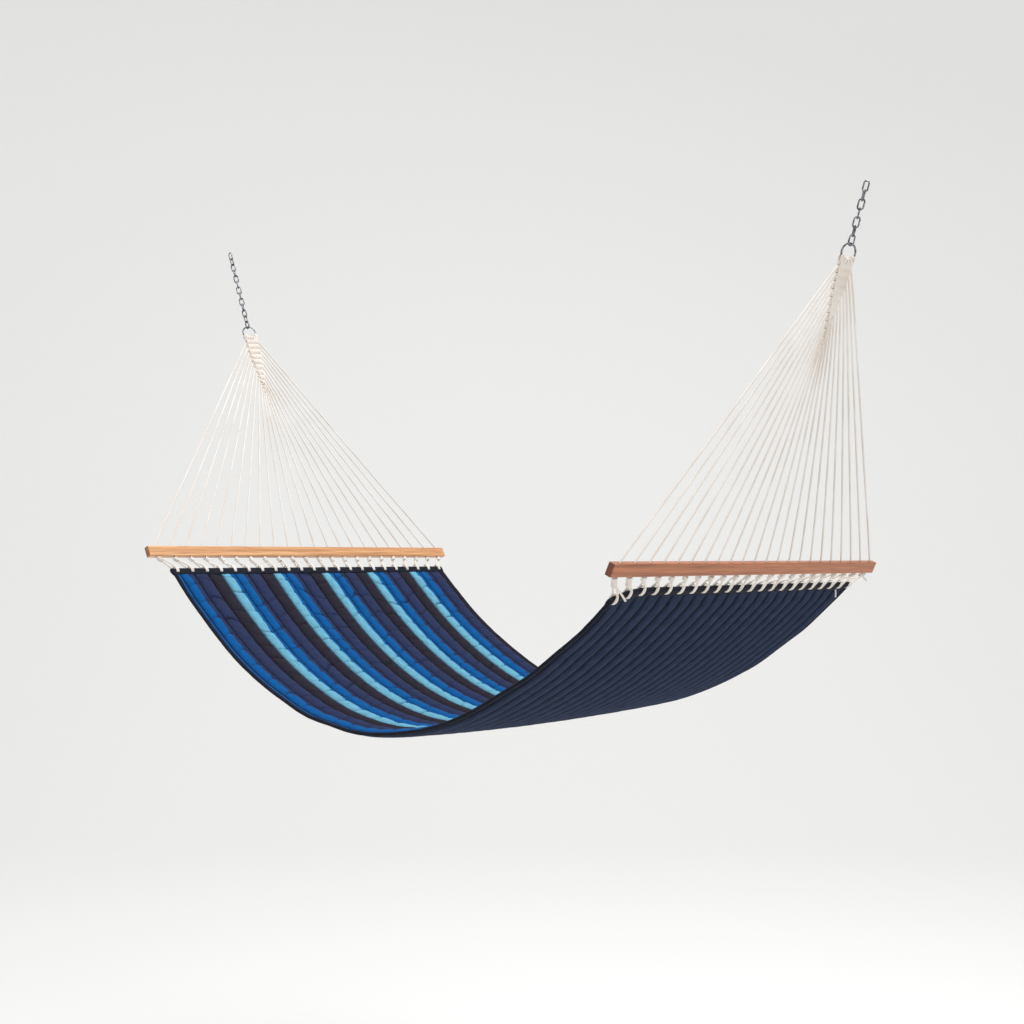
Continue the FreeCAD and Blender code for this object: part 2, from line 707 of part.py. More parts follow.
def bed_slab(low, high, start_y, stop_y, inset):
    """The solid between two layer lines, from start_y to stop_y."""
    lower = layer_line(low, inset, inset)
    upper = layer_line(high, inset, inset)
    lower_tips = [lower.OrderedVertexes[0].Point, lower.OrderedVertexes[-1].Point]
    upper_tips = [upper.OrderedVertexes[0].Point, upper.OrderedVertexes[-1].Point]
    closing = [Part.LineSegment(a, b).toShape() for a, b in zip(lower_tips, upper_tips)]
    outline = Part.Wire(Part.__sortEdges__(lower.Edges + upper.Edges + closing))
    face = Part.Face(outline)
    face.translate(ALONG_Y * start_y)
    return face.extrude(ALONG_Y * (stop_y - start_y))


def add_bed_layers():
    half = QUILT_THICKNESS / 2
    core = half - size("cover_thickness")
    side = size("bed_width") / 2 - size("binding_thickness")
    inset = SLOT_DEPTH + BED_END_CLEARANCE
    for label, low, high in (("bed_back_cover", -half, -core), ("bed_batting", -core, core),
                             ("bed_top_cover", core, half)):
        feature(label, bed_slab(low, high, -side, side, inset))


def add_side_binding(label, side):
    """A strip folded over the bed's long edge, between the two hems."""
    half = QUILT_THICKNESS / 2
    outer_y = side * size("bed_width") / 2
    inner_y = side * (size("bed_width") / 2 - size("binding_width"))
    wall_y = side * (size("bed_width") / 2 - size("binding_thickness"))
    inset = size("hem_depth")
    strip = bed_slab(-half - size("binding_thickness"), half + size("binding_thickness"),
                     min(inner_y, outer_y), max(inner_y, outer_y), inset)
    reach = inner_y - side * BINDING_CUT_MARGIN
    quilt = bed_slab(-half, half, min(reach, wall_y), max(reach, wall_y), inset)
    return feature(label, strip.cut(quilt))


# Build

for end in (head, foot):
    add_spreader_bar(end)
    add_ring(end)
    for number in range(1, end.link_count + 1):
        add_link(end, number)
    add_clew_weave(end)
    add_harness_cords(end)
    add_hitches(end)
    add_lashings(end)
    add_hem_dowel(end)
    add_hem_band(end)
add_bed_layers()
add_side_binding("near_edge_binding", -1)
add_side_binding("far_edge_binding", 1)
doc.recompute()


# Check every object before anything is written

for item in doc.Objects:
    if "Invalid" in item.State or "Error" in item.State:
        raise RuntimeError(f"{item.Name} failed: {item.State}")
for item in subparts:
    if item.Shape.isNull() or not item.Shape.isValid() or not item.Shape.Solids:
        raise RuntimeError(f"{item.Label} has no valid solid")

os.makedirs("parts", exist_ok=True)
for item in subparts:
    item.Shape.exportStep(f"parts/{item.Label}.step")
print(f"{len(subparts)} sub-parts written")
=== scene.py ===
import math
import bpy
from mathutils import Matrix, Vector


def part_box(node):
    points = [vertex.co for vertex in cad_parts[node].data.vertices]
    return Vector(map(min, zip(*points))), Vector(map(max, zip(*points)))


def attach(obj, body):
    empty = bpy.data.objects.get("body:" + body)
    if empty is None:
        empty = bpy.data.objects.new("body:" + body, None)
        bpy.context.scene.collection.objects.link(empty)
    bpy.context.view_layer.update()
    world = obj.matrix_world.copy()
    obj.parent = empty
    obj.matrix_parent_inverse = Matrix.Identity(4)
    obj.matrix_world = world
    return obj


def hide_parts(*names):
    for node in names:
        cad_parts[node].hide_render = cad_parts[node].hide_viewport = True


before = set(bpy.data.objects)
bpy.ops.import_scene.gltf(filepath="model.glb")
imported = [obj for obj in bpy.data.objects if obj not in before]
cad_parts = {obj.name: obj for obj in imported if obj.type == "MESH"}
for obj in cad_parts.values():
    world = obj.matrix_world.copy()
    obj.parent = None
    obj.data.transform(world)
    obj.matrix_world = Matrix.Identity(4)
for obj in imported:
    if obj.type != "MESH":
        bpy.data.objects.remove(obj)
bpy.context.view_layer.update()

from types import SimpleNamespace

import bmesh
import bpy
import numpy as np
from mathutils import Vector, noise

scene = bpy.context.scene

# A quilted hammock. Metres, X from head to foot, Y across, Z up.

print("camera and light")

camera = {"place": (4.3535, -3.5519, -1.1493), "tilt": 91.76, "heading": 39.82, "lens": 51.45,
          "sensor": 36}
lens = bpy.data.cameras.new("camera")
lens.lens = camera["lens"]
lens.sensor_width = camera["sensor"]
lens.clip_end = 100
eye = bpy.data.objects.new("camera", lens)
eye.location = camera["place"]
eye.rotation_euler = (math.radians(camera["tilt"]), 0, math.radians(camera["heading"]))
scene.collection.objects.link(eye)
scene.camera = eye
scene.view_settings.view_transform = "Standard"


def linearColour(hexValue):
    # sRGB hex to the linear colour that shaders take
    parts = [int(hexValue[i:i + 2], 16) / 255 for i in (1, 3, 5)]
    return [p / 12.92 if p <= 0.04045 else ((p + 0.055) / 1.055) ** 2.4 for p in parts] + [1]


def addNode(tree, kind, settings=None, **links):
    # settings are node properties or input values by name, links are input=output socket
    node = tree.nodes.new(kind)
    for name, value in (settings or {}).items():
        if hasattr(node, name):
            setattr(node, name, value)
        else:
            node.inputs[name].default_value = value
    for name, socket in links.items():
        tree.links.new(socket, node.inputs[int(name[2:]) if name.startswith("in") else name])
    return node


def newFinish(name, hexValue, roughness, **sockets):
    finish = bpy.data.materials.new(name)
    finish.use_nodes = True
    tree = finish.node_tree
    tree.nodes.clear()
    skin = addNode(tree, "ShaderNodeBsdfPrincipled",
                   {"Base Color": linearColour(hexValue), "Roughness": roughness, **sockets})
    addNode(tree, "ShaderNodeOutputMaterial", Surface=skin.outputs[0])
    return finish, tree, skin


heart = Vector((1.3, 0, -1.2))     # about the middle of the hammock
lamps = {
    "overhead": {"place": (2.2, 0.4, 3.4), "size": 3.6, "power": 190},
    "side": {"place": (6.4, -1.2, 1.6), "size": 3.0, "power": 30},
}
for name, lamp in lamps.items():
    light = bpy.data.lights.new(name, "AREA")
    light.size = lamp["size"]
    light.energy = lamp["power"]
    holder = bpy.data.objects.new(name, light)
    holder.location = lamp["place"]
    aim = heart - Vector(lamp["place"])
    holder.rotation_euler = aim.to_track_quat("-Z", "Y").to_euler()
    scene.collection.objects.link(holder)

sky = bpy.data.worlds.new("sky")
sky.use_nodes = True
glow = sky.node_tree.nodes["Background"]
glow.inputs["Color"].default_value = (1, 1, 1, 1)
glow.inputs["Strength"].default_value = 0.74
scene.world = sky

print("floor")

floor = {"height": -3.25, "front": 9, "reach": 9, "bend": 3, "bendSteps": 24, "wall": 9, "halfWidth": 14}
bm = bmesh.new()
turn = math.radians(camera["heading"])
away = Vector((-math.sin(turn), math.cos(turn), 0))
aside = away.cross(Vector((0, 0, 1)))
start = Vector((heart.x, 0, floor["height"])) - aside * floor["halfWidth"]
corner = start + away * floor["reach"]
line = [bm.verts.new(spot) for spot in (start - away * floor["front"], corner,
                                        corner + Vector((0, 0, floor["wall"])))]
for pair in zip(line, line[1:]):
    bm.edges.new(pair)
bmesh.ops.bevel(bm, geom=[line[1]], offset=floor["bend"], segments=floor["bendSteps"], profile=0.5,
                affect="VERTICES", material=-1)
sweep = bmesh.ops.extrude_edge_only(bm, edges=bm.edges[:])
bmesh.ops.translate(bm, vec=aside * 2 * floor["halfWidth"],
                    verts=[v for v in sweep["geom"] if isinstance(v, bmesh.types.BMVert)])
bmesh.ops.recalc_face_normals(bm, faces=bm.faces)
floorMesh = bpy.data.meshes.new("floor")
bm.to_mesh(floorMesh)
bm.free()
floorMesh.shade_smooth()
floorPiece = bpy.data.objects.new("floor", floorMesh)
scene.collection.objects.link(floorPiece)
floorMesh.materials.append(newFinish("painted pale floor", "#fbfbfa", 0.9)[0])

print("finishes")


def grain(tree, source, scale, stretch, detail=4):
    # noise drawn out along one axis, as fibres and pores are
    mapping = addNode(tree, "ShaderNodeMapping", {"Scale": stretch}, Vector=source)
    return addNode(tree, "ShaderNodeTexNoise", {"Scale": scale, "Detail": detail},
                   Vector=mapping.outputs[0]).outputs[0]


def ramp(tree, socket, stops, interpolation="LINEAR"):
    node = addNode(tree, "ShaderNodeValToRGB", Fac=socket)
    bar = node.color_ramp
    bar.interpolation = interpolation
    while len(bar.elements) < len(stops):
        bar.elements.new(0.5)
    for element, (position, hexValue) in zip(bar.elements, stops):
        element.position = position
        element.color = linearColour(hexValue)
    return node.outputs[0]


def changed(tree, operation, socket, amount=0):
    node = addNode(tree, "ShaderNodeMath", {"operation": operation}, in0=socket)
    node.inputs[1].default_value = amount
    return node.outputs[0]


def multiplied(tree, colour, shade, amount=1):
    node = addNode(tree, "ShaderNodeMix", {"data_type": "RGBA", "blend_type": "MULTIPLY"},
                   in6=colour, in7=shade)
    node.inputs[0].default_value = amount
    return node.outputs[2]


def bumped(tree, skin, height, strength, distance):
    node = addNode(tree, "ShaderNodeBump", {"Strength": strength, "Distance": distance}, Height=height)
    tree.links.new(node.outputs[0], skin.inputs["Normal"])


def objectPlace(tree):
    return addNode(tree, "ShaderNodeTexCoord").outputs["Object"]


# Oak, planed and varnished: warm brown, long fine pores and a soft shine. The bars get lit and shaded
# copies of one oak: painted light makes the head bar's tones lighter, painted shade the foot bar's browner.
litAndShadedBoards = {"head": ["#bc8353", "#dca26f", "#eebc86"], "foot": ["#935530", "#ac6538", "#be7546"]}
oak = {}
for board, tones in litAndShadedBoards.items():
    oak[board], tree, skin = newFinish(f"varnished oak {board}", tones[1], 0.42,
                                       **{"Coat Weight": 0.2, "Coat Roughness": 0.2})
    place = objectPlace(tree)
    figure = grain(tree, place, 95, (1, 0.025, 1), 6)     # growth rings, about 10 mm apart
    pores = grain(tree, place, 420, (1, 0.02, 1), 3)      # 2 mm pores drawn out to 100 mm
    tone = ramp(tree, figure, list(zip((0.3, 0.5, 0.7), tones)))
    dark = ramp(tree, pores, [(0.36, "#a0693c"), (0.5, "#ffffff")])
    sideways = addNode(tree, "ShaderNodeSeparateXYZ", Vector=place).outputs["Y"]
    outward = changed(tree, "ABSOLUTE", sideways)
    endGrainAndShade = ramp(tree, outward, [(0.6979, "#ffffff"), (0.6983, "#8c7763")])   # cut ends drink varnish and are darker, and are darkened further as painted shade
    oakColourAndShade = multiplied(tree, multiplied(tree, tone, dark, 0.45), endGrainAndShade)
    tree.links.new(oakColourAndShade, skin.inputs["Base Color"])
    bumped(tree, skin, pores, 0.25, 0.0004)

# A turned hardwood rod, paler and unvarnished.
rodWood, tree, skin = newFinish("turned beech rod", "#c9a276", 0.6)
fibre = grain(tree, objectPlace(tree), 300, (1, 0.04, 1))
tree.links.new(ramp(tree, fibre, [(0.35, "#b58a5c"), (0.65, "#d8b68b")]), skin.inputs["Base Color"])

# Zinc-plated steel wire: grey, fairly bright, with a faint grain of the plating in its bumps;
# the strong dark and light mottle in its colour is painted reflection.
zinc, tree, skin = newFinish("zinc-plated steel", "#85888b", 0.22, Metallic=1.0)
platingGrainAndReflection = grain(tree, objectPlace(tree), 120, (1, 1, 1), 3)
tree.links.new(ramp(tree, platingGrainAndReflection, [(0.38, "#4a4d50"), (0.62, "#a4a7aa")]), skin.inputs["Base Color"])
bumped(tree, skin, platingGrainAndReflection, 0.15, 0.0002)

# Spun polyester cord: cream, matt, with the fuzz of its fibres.
cordFinish, tree, skin = newFinish("spun polyester cord", "#ebe3da", 0.85, **{"Specular IOR Level": 0.25})
place = objectPlace(tree)
fuzz = grain(tree, place, 900, (1, 1, 1), 2)
soil = grain(tree, place, 9, (1, 1, 1), 3)
tree.links.new(ramp(tree, soil, [(0.35, "#e3d9ce"), (0.65, "#f0eae3")]), skin.inputs["Base Color"])
bumped(tree, skin, fuzz, 0.5, 0.0006)


def wovenBump(tree, skin, across, along, depth, strength):
    # plain weave from two crossing waves over the piece's own UV, in metres
    uv = addNode(tree, "ShaderNodeTexCoord").outputs["UV"]
    threads = []
    for direction, pitch in (("X", across), ("Y", along)):
        wave = addNode(tree, "ShaderNodeTexWave",
                       {"bands_direction": direction, "Scale": 0.314 / pitch, "Distortion": 0.4,
                        "Detail": 1, "Detail Scale": 2}, Vector=uv)
        threads.append(wave.outputs["Fac"])
    both = addNode(tree, "ShaderNodeMath", {"operation": "MULTIPLY"}, in0=threads[0], in1=threads[1])
    bumped(tree, skin, both.outputs[0], strength, depth)
    return uv


channelWidth = 0.0558      # from one quilting seam to the next


def paintSeamAndFoldShade(tree, uv, colour, shades):
    # painted shade where the cloth is pulled down to a seam or gathered in a fold; shades run outward from
    # the seam
    sideways = addNode(tree, "ShaderNodeSeparateXYZ", Vector=uv).outputs["Y"]
    fromSeam = changed(tree, "PINGPONG", sideways, channelWidth / 2)
    reach = changed(tree, "DIVIDE", fromSeam, channelWidth / 2)
    seamShade = ramp(tree, reach, list(zip((0, 0.08, 0.2, 0.5), [*shades, "#ffffff"])))
    folds = addNode(tree, "ShaderNodeAttribute", {"attribute_name": "folds"}).outputs["Fac"]
    foldShade = ramp(tree, folds, [(0.1, "#ffffff"), (0.8, shades[1])])
    return multiplied(tree, multiplied(tree, colour, seamShade), foldShade)


# Woven olefin, solution dyed: matt, a little heathered, threads drawn 3 mm apart to show.
stripes = {"repeat": 0.2232, "start": -0.0024, "aqua": 0.034, "blue": 0.052, "indigo": 0.0784}
stripedCloth, tree, skin = newFinish("striped woven olefin", "#39446b", 0.85,
                                     **{"Specular IOR Level": 0.12})
uv = wovenBump(tree, skin, 0.003, 0.003, 0.0005, 0.35)
sideways = addNode(tree, "ShaderNodeSeparateXYZ", Vector=uv).outputs["Y"]
shifted = changed(tree, "SUBTRACT", sideways, stripes["start"])
share = changed(tree, "FRACT", changed(tree, "DIVIDE", shifted, stripes["repeat"]))
blueFrom = stripes["aqua"] / stripes["repeat"]
indigoFrom = blueFrom + stripes["blue"] / stripes["repeat"]
blackFrom = indigoFrom + stripes["indigo"] / stripes["repeat"]
bands = ramp(tree, share, [(0, "#6fb2cc"), (blueFrom, "#005a9e"), (indigoFrom, "#2b3558"),
                           (blackFrom, "#282531")], "CONSTANT")
heather = grain(tree, uv, 260, (0.12, 1, 1), 3)
fleck = ramp(tree, heather, [(0.3, "#c4c4c8"), (0.7, "#ffffff")])
dyed = multiplied(tree, bands, fleck, 0.7)
# painted shade along the seams and in the folds over the dyed stripes
tree.links.new(paintSeamAndFoldShade(tree, uv, dyed, ["#75757a", "#9a9aa0", "#eeeeee"]), skin.inputs["Base Color"])

navyCloth, tree, skin = newFinish("navy woven olefin", "#1b2232", 0.85, **{"Specular IOR Level": 0.12})
uv = wovenBump(tree, skin, 0.003, 0.003, 0.0005, 0.35)
heather = grain(tree, uv, 260, (0.12, 1, 1), 3)
dyed = ramp(tree, heather, [(0.3, "#1c2538"), (0.7, "#2e3a55")])
# painted shade along the seams of the navy back
tree.links.new(paintSeamAndFoldShade(tree, uv, dyed, ["#4c4c52", "#6e6e74", "#c4c4c8"]), skin.inputs["Base Color"])

# Polyester webbing: near-black navy, ribbed across every 2 mm.
webbing, tree, skin = newFinish("polyester webbing", "#11141f", 0.75, **{"Specular IOR Level": 0.15})
uv = wovenBump(tree, skin, 0.002, 0.004, 0.0005, 0.5)
heather = grain(tree, uv, 200, (0.2, 1, 1), 3)
tree.links.new(ramp(tree, heather, [(0.3, "#0e111b"), (0.7, "#191e2d")]), skin.inputs["Base Color"])

print("layout")

across = Vector((0, 1, 0))


def middle(node):
    low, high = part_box(node)
    return (low + high) / 2


cord = {"count": 22, "radius": 0.00275, "sides": 9, "lay": 0.021, "lobe": 0.1, "step": 0.0035}
bar = {"lean": 25, "height": 0.036, "length": 1.397, "holeEdge": 0.03175}
ring = {"radius": 0.024, "wire": 0.00275, "turn": 20, "loopStep": 12.5, "secondLayer": 0.0022}
clew = {"rows": 11, "pitch": 0.0215, "width": 0.046, "deep": 0.0042, "cordGap": 0.0005, "weftGap": 0.0028,
        "bendHalf": 0.0045}
hem = {"width": 1.274, "depth": 0.0200, "slotEdge": 0.0175, "slotWidth": 0.0116, "slotDepth": 0.0155,
       "radius": 0.0065, "pinch": 0.0026, "tape": 0.0014, "dowel": 0.0055, "over": 0.0012}
bed = {"sag": 0.434, "crossSag": 0.015, "halfWidth": 0.637, "channels": 22, "channel": channelWidth,
       "bindingWidth": 0.010, "edgeWave": 0.0018, "lineSpots": 801}
droopSize = {"depth": 0.026, "reach": 0.17, "fade": 0.3}

lean = math.radians(bar["lean"])
ends = []
for name, side in (("head", -1), ("foot", 1)):
    end = SimpleNamespace(name=name, side=side)
    end.ring = middle(f"{name}_ring")
    end.bar = middle(f"{name}_spreader_bar")
    end.dowel = middle(f"{name}_hem_dowel")
    end.pull = (end.ring - end.bar).normalized()
    end.fan = Vector((end.pull.z, 0, -end.pull.x))
    end.chain = (middle(f"{name}_chain_link_03") - middle(f"{name}_chain_link_01")).normalized()
    end.chainFan = Vector((end.chain.z, 0, -end.chain.x))
    end.barUp = Vector((side * math.sin(lean), 0, math.cos(lean)))
    ends.append(end)
head, foot = ends

# The bed's line between the dowels, as distances along it
spanX = np.linspace(head.dowel.x, foot.dowel.x, bed["lineSpots"])
spanShare = np.linspace(0, 1, bed["lineSpots"])
spanZ = (head.dowel.z + (foot.dowel.z - head.dowel.z) * spanShare
         - 4 * bed["sag"] * spanShare * (1 - spanShare))
spanRun = np.concatenate([[0], np.cumsum(np.hypot(np.diff(spanX), np.diff(spanZ)))])
slopeX, slopeZ = np.gradient(spanX, spanRun), np.gradient(spanZ, spanRun)
bedLength = float(spanRun[-1])


def droop(run, side):
    # the foot hem's near corner hangs a little below the line of its rod
    near = np.clip((side + bed["halfWidth"]) / droopSize["reach"], 0, 1)
    return droopSize["depth"] * (1 - near) ** 2 * np.exp(-((bedLength - run) / droopSize["fade"]) ** 2)


def onBed(flat):
    # flat is an array of run, side and lift; the answer is an array of places
    run, side, lift = flat[:, 0], flat[:, 1], flat[:, 2]
    dip = bed["crossSag"] * (1 - (side / bed["halfWidth"]) ** 2)
    dip = dip * np.sin(np.pi * np.clip(run / bedLength, 0, 1)) ** 0.7 + droop(run, side)
    edge = np.abs(side / bed["halfWidth"]) ** 3 * np.clip(np.minimum(run, bedLength - run) / 0.15 - 0.3, 0, 1)
    dip = dip + bed["edgeWave"] * edge * np.sin(run * 21 + side * 2 + 1.1 * np.sin(run * 7.3))
    alongX, alongZ = np.interp(run, spanRun, slopeX), np.interp(run, spanRun, slopeZ)
    return np.stack([np.interp(run, spanRun, spanX) - alongZ * lift, side,
                     np.interp(run, spanRun, spanZ) + alongX * lift - dip], axis=1)


for end in ends:
    reach = hem["depth"] if end.side < 0 else bedLength - hem["depth"]
    spot = Vector(onBed(np.array([[reach, bed["halfWidth"], 0]]))[0])
    end.along = Vector((spot.x - end.dowel.x, 0, spot.z - end.dowel.z)).normalized()
    end.lift = Vector((end.side * end.along.z, 0, -end.side * end.along.x))


def newPiece(name, bm, finish, body="bed_and_harness"):
    mesh = bpy.data.meshes.new(name)
    bm.to_mesh(mesh)
    bm.free()
    mesh.shade_smooth()
    mesh.materials.append(finish)
    piece = bpy.data.objects.new(name, mesh)
    scene.collection.objects.link(piece)
    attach(piece, body)
    return piece


def moveVerts(bm, places):
    for vert, spot in zip(bm.verts, places.tolist()):
        vert.co = spot


def vertPlaces(bm):
    return np.array([tuple(vert.co) for vert in bm.verts])


def smoothRoute(points, fineness=8):
    # the line of a NURBS curve with these control points
    curve = bpy.data.curves.new("route", "CURVE")
    curve.dimensions = "3D"
    curve.resolution_u = fineness
    line = curve.splines.new("NURBS")
    line.points.add(len(points) - 1)
    for point, spot in zip(line.points, points):
        point.co = (*spot, 1)
    line.order_u = 3
    line.use_endpoint_u = True
    holder = bpy.data.objects.new("route", curve)
    mesh = bpy.data.meshes.new_from_object(holder)
    spots = np.array([tuple(vert.co) for vert in mesh.vertices])
    bpy.data.objects.remove(holder)
    bpy.data.curves.remove(curve)
    bpy.data.meshes.remove(mesh)
    return spots


def addRope(whole, points, fineness=8):
    # a three-strand rope: a lobed ring spun up its own axis, then laid along the route
    spots = smoothRoute(points, fineness)
    run = np.concatenate([[0], np.cumsum(np.linalg.norm(np.diff(spots, axis=0), axis=1))])
    length = float(run[-1])
    bm = bmesh.new()
    bmesh.ops.create_circle(bm, radius=cord["radius"], segments=cord["sides"])
    for vert in bm.verts:
        turn = math.atan2(vert.co.y, vert.co.x)
        vert.co *= 1 + cord["lobe"] * math.cos(3 * turn)
    steps = max(4, round(length / cord["step"]))
    bmesh.ops.spin(bm, geom=bm.verts[:] + bm.edges[:], cent=(0, 0, 0), axis=(0, 0, 1),
                   dvec=(0, 0, length / steps), angle=math.tau * length / cord["lay"], steps=steps)
    bmesh.ops.holes_fill(bm, edges=[e for e in bm.edges if e.is_boundary], sides=0)
    bmesh.ops.recalc_face_normals(bm, faces=bm.faces)
    heading = np.gradient(spots, run, axis=0)
    heading /= np.linalg.norm(heading, axis=1)[:, None]
    side = np.zeros_like(spots)
    first = np.cross(heading[0], (0.3, 0.2, 1) if abs(heading[0][2]) < 0.9 else (1, 0.2, 0.1))
    side[0] = first / np.linalg.norm(first)
    for i in range(1, len(spots)):
        turned = side[i - 1] - heading[i] * (heading[i] @ side[i - 1])
        side[i] = turned / np.linalg.norm(turned)
    other = np.cross(heading, side)
    co = vertPlaces(bm)
    blend = [np.stack([np.interp(co[:, 2], run, part[:, k]) for k in range(3)], axis=1)
             for part in (spots, side, other)]
    moveVerts(bm, blend[0] + blend[1] * co[:, :1] + blend[2] * co[:, 1:2])
    mesh = bpy.data.meshes.new("rope")
    bm.to_mesh(mesh)
    bm.free()
    whole.from_mesh(mesh)
    bpy.data.meshes.remove(mesh)


print("clews and harness cords")


def rowWidth(row):
    return min(clew["width"], (clew["rows"] - row) * (2 * cord["radius"] + clew["cordGap"]))


def rowTop(row):
    return ring["radius"] + ring["wire"] + 0.0002 + row * clew["pitch"]


def clewSpot(end, row, aside, deep, down):
    turn = math.radians(ring["turn"] * (1 - min(row, clew["rows"] - 1) / (clew["rows"] - 1)))
    wide = across * math.cos(turn) + end.fan * math.sin(turn)
    thick = end.fan * math.cos(turn) - across * math.sin(turn)
    return end.ring - end.pull * down + wide * aside + thick * deep


def loopSpots(end, place, face):
    # half of a cord's turn round the ring wire, from inside the ring
    swing = math.radians((place - (clew["rows"] - 1) / 2) * ring["loopStep"])
    turn = math.radians(ring["turn"])
    wide = across * math.cos(turn) + end.chainFan * math.sin(turn)
    thick = end.chainFan * math.cos(turn) - across * math.sin(turn)
    out = wide * math.sin(swing) - end.chain * math.cos(swing)
    wrap = ring["wire"] + cord["radius"] + (ring["secondLayer"] if place % 2 else 0)
    return [end.ring + out * (ring["radius"] - wrap),
            end.ring + out * (ring["radius"] - wrap) + thick * (face * wrap),
            end.ring + out * (ring["radius"] + wrap * 0.7) + thick * (face * wrap)]


def holeSpot(end, index):
    step = (bar["length"] - 2 * bar["holeEdge"]) / (cord["count"] - 1)
    return end.bar + across * ((index - (cord["count"] - 1) / 2) * step)


def harnessRoute(end, index):
    row = min(index, cord["count"] - 1 - index)
    exitSide = -1 if index < clew["rows"] else 1
    startSide = -exitSide
    order = row if startSide < 0 else cord["count"] - 1 - row
    face = 1 if order % 2 == 0 else -1
    spots = loopSpots(end, order // 2, face)
    spots.append(clewSpot(end, 0, startSide * (clew["rows"] - row - 0.5) / clew["rows"]
                          * rowWidth(0) / 2, face * 0.0035, rowTop(0) + 0.002))
    for k in range(row):
        aside = startSide * (clew["rows"] - row - 0.5) / (clew["rows"] - k) * rowWidth(k) / 2
        deep = clew["deep"] * face * (1 if k % 2 == 0 else -1)
        down = rowTop(k) + clew["pitch"] / 2
        spots += [clewSpot(end, k, aside, deep, down + bend)
                  for bend in (-clew["bendHalf"], clew["bendHalf"])]
    half = rowWidth(row) / 2
    down = rowTop(row) + clew["pitch"] / 2 + startSide * clew["weftGap"]
    spots += [clewSpot(end, row, startSide * half, face * 0.003, down - 0.007),
              clewSpot(end, row, startSide * (half + 0.001), face * 0.001, down),
              clewSpot(end, row, 0, 0, down),
              clewSpot(end, row, -startSide * half * 0.7, 0, down),
              clewSpot(end, row, -startSide * (half + 0.003), 0, down + 0.002)]
    hole = holeSpot(end, index)
    entry = hole + end.barUp * (bar["height"] / 2 + 0.004)
    spots += [(spots[-1] + entry) / 2 - Vector((0, 0, 0.005)), entry,
              hole + end.barUp * (bar["height"] / 2 - 0.006), hole - end.barUp * (bar["height"] / 2 + 0.004)]
    return spots


for end in ends:
    bm = bmesh.new()
    for index in range(cord["count"]):
        addRope(bm, harnessRoute(end, index))
    piece = newPiece(f"{end.name}_harness_ropes", bm, cordFinish)
    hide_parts(f"{end.name}_clew_weave", f"{end.name}_harness_cords")

print("hitches and lashings")

knot = {"coil": 0.0062, "turns": 3, "rise": 0.0058, "longTurns": 6, "beside": 0.003}
longKnots = {"head": (), "foot": (0, 1)}
tails = [     # loose ends at the foot: from which cord's knot or hook, how far aside, which way, how long
    {"cord": 0, "from": "knot", "aside": 0.006, "way": (0.44, 0.37, -0.82), "length": 0.046},
    {"cord": 21, "from": "knot", "aside": 0.003, "way": (0.5, 0.5, -0.7), "length": 0.026},
    {"cord": 20, "from": "hook", "aside": 0.004, "way": (0.15, -0.15, -0.97), "length": 0.028},
]
lash = hem["dowel"] + cord["radius"] + 0.0003
apart = cord["radius"] + 0.0001      # half the step between the two turns round the rod


def hemDroop(end, side):
    return float(droop(bedLength, side)) if end.side > 0 else 0.0


def slotSpot(end, index):
    step = (hem["width"] - 2 * hem["slotEdge"]) / (cord["count"] - 1)
    side = (index - (cord["count"] - 1) / 2) * step
    return end.dowel + across * side - Vector((0, 0, hemDroop(end, side)))


def lashingRoute(end, index):
    hole = holeSpot(end, index)
    top = hole - end.barUp * (bar["height"] / 2 + 0.001)
    slot = slotSpot(end, index)
    heading = (slot - top).normalized()
    beside = heading.cross(across).normalized()
    if beside.dot(end.lift) < 0:
        beside = -beside
    third = heading.cross(beside)
    turns = knot["longTurns"] if index in longKnots[end.name] else knot["turns"]
    lean = 0.25 + 0.25 * noise.noise(Vector((index * 3.7, end.side, 0)))
    spots = []
    for step in range(turns * 6 + 1):
        swing = math.radians(60 * step + 40 * index)
        down = 0.003 + knot["rise"] * step / 6
        wobble = knot["coil"] * (1.05 + 0.12 * noise.noise(Vector((step * 0.8, index, end.side))))
        spots.append(top + heading * (down + knot["coil"] * lean * math.sin(swing))
                     + beside * (wobble * math.cos(swing)) + third * (wobble * math.sin(swing)))
    mouth = slot - end.along * (1.5 * lash)
    reach = end.along * (lash * 1.35)
    for aside in (-apart, apart):
        shift = across * aside
        spots += [mouth + end.lift * lash + shift, slot + reach + end.lift * (lash * 1.1) + shift,
                  slot + reach - end.lift * (lash * 1.1) + shift, mouth - end.lift * lash + shift]
        if aside < 0:
            spots.append(mouth - end.along * 0.004)
    spots += [top + heading * 0.02 - beside * knot["beside"], top + heading * 0.004 - beside * 0.001]
    return spots, top + heading * (knot["rise"] * turns)


for end in ends:
    bm = bmesh.new()
    for index in range(cord["count"]):
        spots, last = lashingRoute(end, index)
        addRope(bm, spots, fineness=4)
        for tail in tails if end is foot else ():
            if tail["cord"] != index:
                continue
            start = last if tail["from"] == "knot" else slotSpot(end, index) + end.along * (2 * lash)
            start = start + across * tail["aside"]
            way = Vector(tail["way"]).normalized() * tail["length"]
            addRope(bm, [start, start + way * 0.35 + across * 0.0015, start + way * 0.7,
                         start + way - across * 0.002], fineness=4)
    piece = newPiece(f"{end.name}_lashings", bm, cordFinish)
    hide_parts(f"{end.name}_lashing_hitches", f"{end.name}_hem_lashings")

print("hem bands")

# round the rod: the upper wall by distance from the rod, the fold by degrees, the lower wall
wallReach = [hem["depth"], 0.0178, hem["slotDepth"], 0.007, 0.0]
hemRows = [(-1, reach) for reach in wallReach] + [(0, turn) for turn in (30, 60, 90, 120, 150)]
hemRows += [(1, reach) for reach in reversed(wallReach)]
hemSteps = [-0.5, -0.28, -0.0983, 0.0983, 0.28]     # columns over one buttonhole's step


